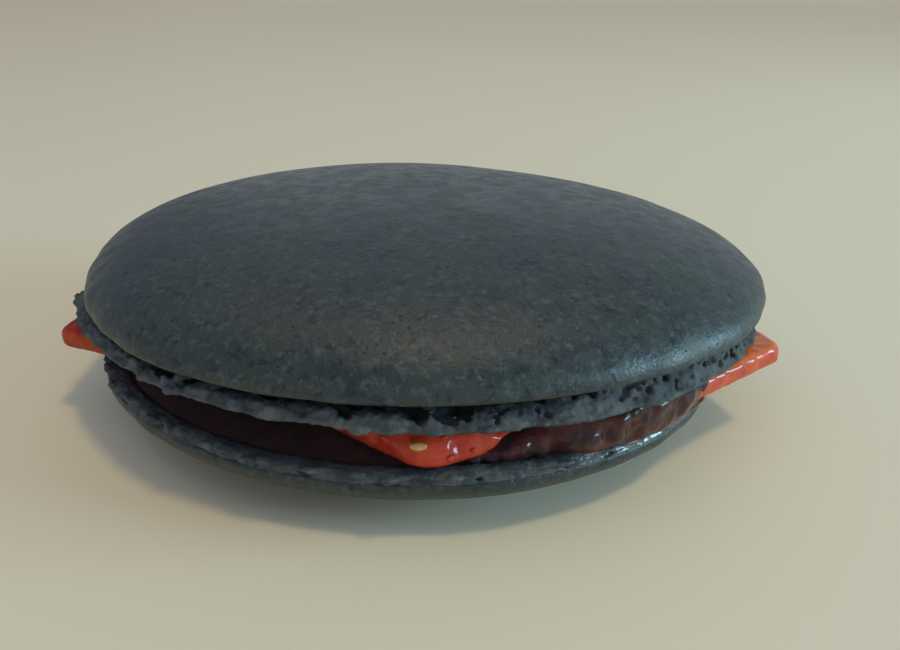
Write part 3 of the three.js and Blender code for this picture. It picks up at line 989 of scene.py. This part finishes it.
# Lumps heaped in front of the front slice's right edge: angle, reach, height, half sizes.
JAM_HEAP = [
    (-83, 31.5, 7.7, (1.9, 1.1, 0.65)),
    (-80.5, 31.5, 7.8, (2.2, 1.2, 0.8)),
    (-78, 31.6, 8.0, (2.4, 1.2, 0.95)),
    (-75.5, 31.7, 8.2, (2.6, 1.3, 1.15)),
    (-73, 31.8, 8.5, (2.6, 1.3, 1.3)),
    (-70.5, 32.0, 8.8, (2.6, 1.4, 1.5)),
    (-68, 31.8, 9.2, (2.6, 1.4, 1.6)),
    (-65, 32.2, 9.4, (2.4, 1.3, 1.6)),
    (-71.6, 33.3, 8.7, (0.7, 0.9, 0.6)),
    (-66.0, 34.0, 8.8, (0.8, 1.0, 0.6)),
    (-61.0, 34.2, 9.6, (0.8, 1.1, 0.7)),
]


def jam_sector(angle):
    """The number of the sector round the jam that an angle falls in."""
    return math.floor(angle / FULL_TURN * JAM_SECTORS) % JAM_SECTORS


def add_jam_lumps(bm):
    """Pieces of fruit round the jam's wall, about half of them at the front right, and the heap."""
    edge = [0.0] * JAM_SECTORS
    for vertex in bm.verts:
        sector = jam_sector(math.atan2(vertex.co.y, vertex.co.x))
        edge[sector] = max(edge[sector], vertex.co.xy.length)
    draw = random_stream(JAM_SEED)
    for i in range(JAM_LUMPS):
        if i < FRONT_LUMPS:
            angle = math.radians(FRONT_START + FRONT_WIDTH * draw())
        else:
            angle = FULL_TURN * draw()
        sector = jam_sector(angle)
        size = 0.4 + 0.75 * draw() ** 2
        nearby = min(edge[sector - 1], edge[sector], edge[(sector + 1) % JAM_SECTORS])
        reach = nearby - 0.15 - 0.2 * size
        place = on_circle(reach, angle, 8.2 + 0.7 * size + (2.6 - size) * draw())
        half_sizes = (size, size * 1.2, size * 0.85)
        add_lump(bm, place, half_sizes, angle, tilt=draw() - 0.5, roughness=0.3)
    for degrees, reach, height, half_sizes in JAM_HEAP:
        angle = math.radians(degrees)
        add_lump(bm, on_circle(reach, angle, height), half_sizes, angle, roughness=0.25)


def make_jam():
    """The uneven layer of jam, wet and lumpy at its wall."""
    obj = node_copy("jam", "macaron_jam")
    bm = bmesh.new()
    bm.from_mesh(obj.data)
    bpy.data.objects.remove(obj)
    add_jam_lumps(bm)
    obj = object_from(bm, "macaron_jam")
    remesh(obj, SOFT_VOXEL)
    soften(obj, 3)

    def lumpy(place, normal):
        side = max(0.0, 1 - abs(normal.z) * 1.2)
        angle = math.atan2(place.y, place.x)
        back = nearness(angle, *JAM_RECESS) * ease(place.xy.length, 24, 28)
        squat = Vector((place.x, place.y, 1.5 * place.z))
        lumps = 0.3 * noise.noise(squat * 0.36) + 0.34 * noise.noise(squat * 0.8)
        lumps += 0.1 * noise.noise(squat * 1.5)
        return 0.2 - back + side * lumps

    push_out(obj, lumpy)
    soften(obj, 2)
    for vertex in obj.data.vertices:
        x, y, z = vertex.co
        sag = nearness(math.atan2(y, x), *JAM_SAG) * ease(math.hypot(x, y), 29, 31.5)
        vertex.co.z -= sag * (1 - ease(z, 7.8, 10.5))
    thin_out(obj, 0.7)
    finish_piece(obj, "jam", [JAM])


make_jam()


# Strawberry slices

# Node, material, how far it swells, how ragged its sides are, how much skin its flat and its upright
# faces show.
SLICES = [
    ("strawberry_front", STRAWBERRY, 0.1, 0.05, 1.0, 1.0),
    ("strawberry_right", STRAWBERRY, 0.15, 0.16, 0.1, 0.9),
    # The left slice and the back right one take the darker copy, which is painted shade.
    ("strawberry_left", SHADE_PAINTED_STRAWBERRY, 0.28, 0.15, 0.95, 0.35),
    ("strawberry_back_right", SHADE_PAINTED_STRAWBERRY, 0.1, 0.2, 0.5, 0.8),
    ("strawberry_back_left", STRAWBERRY, 0.1, 0.2, 0.4, 0.7),
]
FRONT_SLICE = "strawberry_front"
SEED_PLACE, SEED_HALF_SIZES = (0.85, -34.6, 9.8), (0.34, 0.76, 0.38)
DIMPLES = [(-3.2, -32.2, 9.4), (4.2, -34.2, 9.5), (7.4, -31.6, 9.8)]
DIMPLE_DEPTH, DIMPLE_RADIUS = 0.32, 0.6
# Drops of juice on the front slice: place and half sizes.
JUICE = [
    ((-2.1, -32.7, 9.5), (0.2, 0.45, 0.22)),
    ((1.4, -34.1, 10.6), (0.2, 0.5, 0.2)),
    ((3.1, -34.1, 10.3), (0.2, 0.4, 0.2)),
    ((3.5, -34.7, 8.7), (0.22, 0.4, 0.3)),
    ((5.4, -33.5, 8.8), (0.2, 0.35, 0.22)),
]


def add_bead(obj, place, half_sizes, material_index):
    """Sets a seed or a drop into the nearest skin, with the material of the given index."""
    _, at, normal, _ = obj.closest_point_on_mesh(Vector(place))
    across = Vector((0, 0, 1)).cross(normal).normalized()
    upright = normal.cross(across)
    turned = Matrix((normal, across, upright)).transposed().to_4x4()
    bm = bmesh.new()
    bm.from_mesh(obj.data)
    before = len(bm.faces)
    matrix = Matrix.Translation(at + normal * 0.02) @ turned @ Matrix.Diagonal((*half_sizes, 1))
    bmesh.ops.create_icosphere(bm, subdivisions=3, radius=1.0, matrix=matrix)
    bm.faces.ensure_lookup_table()
    for face in bm.faces[before:]:
        face.material_index = material_index
    bm.to_mesh(obj.data)
    bm.free()


def make_slice(node, fruit, swell, raggedness, flat_skin, upright_skin):
    """One slice of strawberry; the front one also has its dimples, its seed and the drops of juice."""
    obj = node_copy(node, "macaron_" + node)
    remesh(obj, FRUIT_VOXEL)
    soften(obj, 6)
    dimples = DIMPLES if node == FRONT_SLICE else []

    def relief(place, normal):
        side = max(0.0, 1 - abs(normal.z))
        depth = swell + raggedness * side * rough_noise(place * 0.6, 0.8)
        for dimple in dimples:
            away = (place - Vector(dimple)).length
            depth -= DIMPLE_DEPTH * math.exp(-((away / DIMPLE_RADIUS) ** 2))
        return depth + 0.06 * noise.noise(place * 0.8)

    push_out(obj, relief)
    materials = [fruit, SEED]
    if node == FRONT_SLICE:
        add_bead(obj, SEED_PLACE, SEED_HALF_SIZES, materials.index(SEED))
        for place, half_sizes in JUICE:
            add_bead(obj, place, half_sizes, materials.index(fruit))
    marks = obj.data.attributes.new("skin", "FLOAT", "POINT")
    for vertex, mark in zip(obj.data.vertices, marks.data):
        lying = ease(abs(vertex.normal.z), 0.45, 0.8)
        mark.value = lying * flat_skin + (1 - lying) * upright_skin
    finish_piece(obj, node, materials)


for row in SLICES:
    make_slice(*row)


# Floor, lights and camera

TABLE_HALF_WIDTH = 12.0
MACARON_CENTRE = Vector((0, 0, 0.01))
# The overhead lamp: place, width in degrees, strength, colour.
SUN = ((0.3, -0.38, 1.0), 7.0, 0.74, (0.94, 0.7, 0.36))
# Name, place, size, power, colour, whether surfaces mirror it and whether it lights them.
WINDOWS = [
    ("warm lamp above", (0.08, 0.13, 0.88), (0.14, 0.06), 1.3, (1.0, 0.78, 0.45), True, False),
    ("second warm lamp", (-0.4, 0.45, 0.82), (0.14, 0.06), 0.2, (1.0, 0.8, 0.5), True, False),
    ("small lamp in front", (-0.25, -0.9, 0.35), (0.06, 0.05), 0.16, (1.0, 0.85, 0.6), True, False),
    ("window at right", (0.6, -0.08, 0.15), (0.34, 0.12), 2.7, (0.5, 0.84, 1.0), True, True),
    ("soft front", (-0.1, -1.1, 0.3), (1.4, 0.5), 2.2, (0.98, 0.88, 1.0), False, True),
    ("soft ceiling", (-0.1, -0.45, 1.2), (1.6, 1.2), 2.9, (0.86, 0.9, 0.98), False, True),
    ("bright room behind", (0.6, 2.4, 0.5), (3.2, 0.9), 3.2, (0.9, 1.0, 0.96), True, True),
]
ROOM_COLOUR = (0.235, 0.275, 0.34, 1)
# The photo's camera, fitted to the macaron: place in millimetres, angles in degrees.
CAMERA_PLACE = (3.41, -100.64, 46.61)
CAMERA_TILT, CAMERA_ROLL = 21.54, -0.302
CAMERA_LENS, SENSOR_WIDTH = 36.22, 36


def floor_material():
    values = {"Roughness": 0.6, "Specular IOR Level": 0.25}
    material, tree, shader = new_material("pale table", values)
    tone = noise_value(tree, place_in_mm(tree), 0.004, 2.0)
    link(tree, mix_colour(tree, tone, *TABLE_SAND), shader.inputs["Base Color"])
    return material


def make_floor():
    bm = bmesh.new()
    bmesh.ops.create_grid(bm, x_segments=1, y_segments=1, size=TABLE_HALF_WIDTH)
    floor = object_from(bm, "table")
    floor.data.materials.append(floor_material())


def add_light(name, data, place, colour, mirrored, shaded):
    """Adds a light that shines from the given place at the macaron."""
    data.color = colour
    light = bpy.data.objects.new(name, data)
    light.location = place
    light.visible_glossy = mirrored
    light.visible_diffuse = shaded
    aim = MACARON_CENTRE - Vector(place)
    light.rotation_euler = aim.to_track_quat("-Z", "Y").to_euler()
    bpy.context.scene.collection.objects.link(light)


def add_sun(place, degrees_wide, strength, colour):
    """The main lamp. Surfaces don't mirror it: the small lamps give the sheen."""
    data = bpy.data.lights.new("lamp overhead", "SUN")
    data.angle = math.radians(degrees_wide)
    data.energy = strength
    add_light("lamp overhead", data, place, colour, mirrored=False, shaded=True)


def add_window(name, place, size, power, colour, mirrored, shaded):
    data = bpy.data.lights.new(name, "AREA")
    data.shape = "RECTANGLE"
    data.size, data.size_y = size
    data.energy = power
    add_light(name, data, place, colour, mirrored, shaded)


def make_camera():
    tilt, roll = math.radians(CAMERA_TILT), math.radians(CAMERA_ROLL)
    right = Vector((1, 0, 0))
    up = Vector((0, math.sin(tilt), math.cos(tilt)))
    forward = Vector((0, math.cos(tilt), -math.sin(tilt)))
    side = math.cos(roll) * right - math.sin(roll) * up
    above = math.sin(roll) * right + math.cos(roll) * up
    data = bpy.data.cameras.new("camera")
    data.sensor_fit = "HORIZONTAL"
    data.sensor_width = SENSOR_WIDTH
    data.lens = CAMERA_LENS
    data.clip_start = 0.005
    data.clip_end = 20
    camera = bpy.data.objects.new("camera", data)
    turned = Matrix((side, above, -forward)).transposed().to_4x4()
    camera.matrix_world = Matrix.Translation(Vector(CAMERA_PLACE) * MM) @ turned
    bpy.context.scene.collection.objects.link(camera)
    bpy.context.scene.camera = camera


def light_room():
    """A dim, even, cool light from all round."""
    world = bpy.data.worlds.new("studio")
    world.use_nodes = True
    background = world.node_tree.nodes["Background"]
    background.inputs["Color"].default_value = ROOM_COLOUR
    background.inputs["Strength"].default_value = 1.0
    bpy.context.scene.world = world


make_floor()
make_camera()
add_sun(*SUN)
for row in WINDOWS:
    add_window(*row)
light_room()
bpy.context.scene.view_settings.view_transform = "Standard"
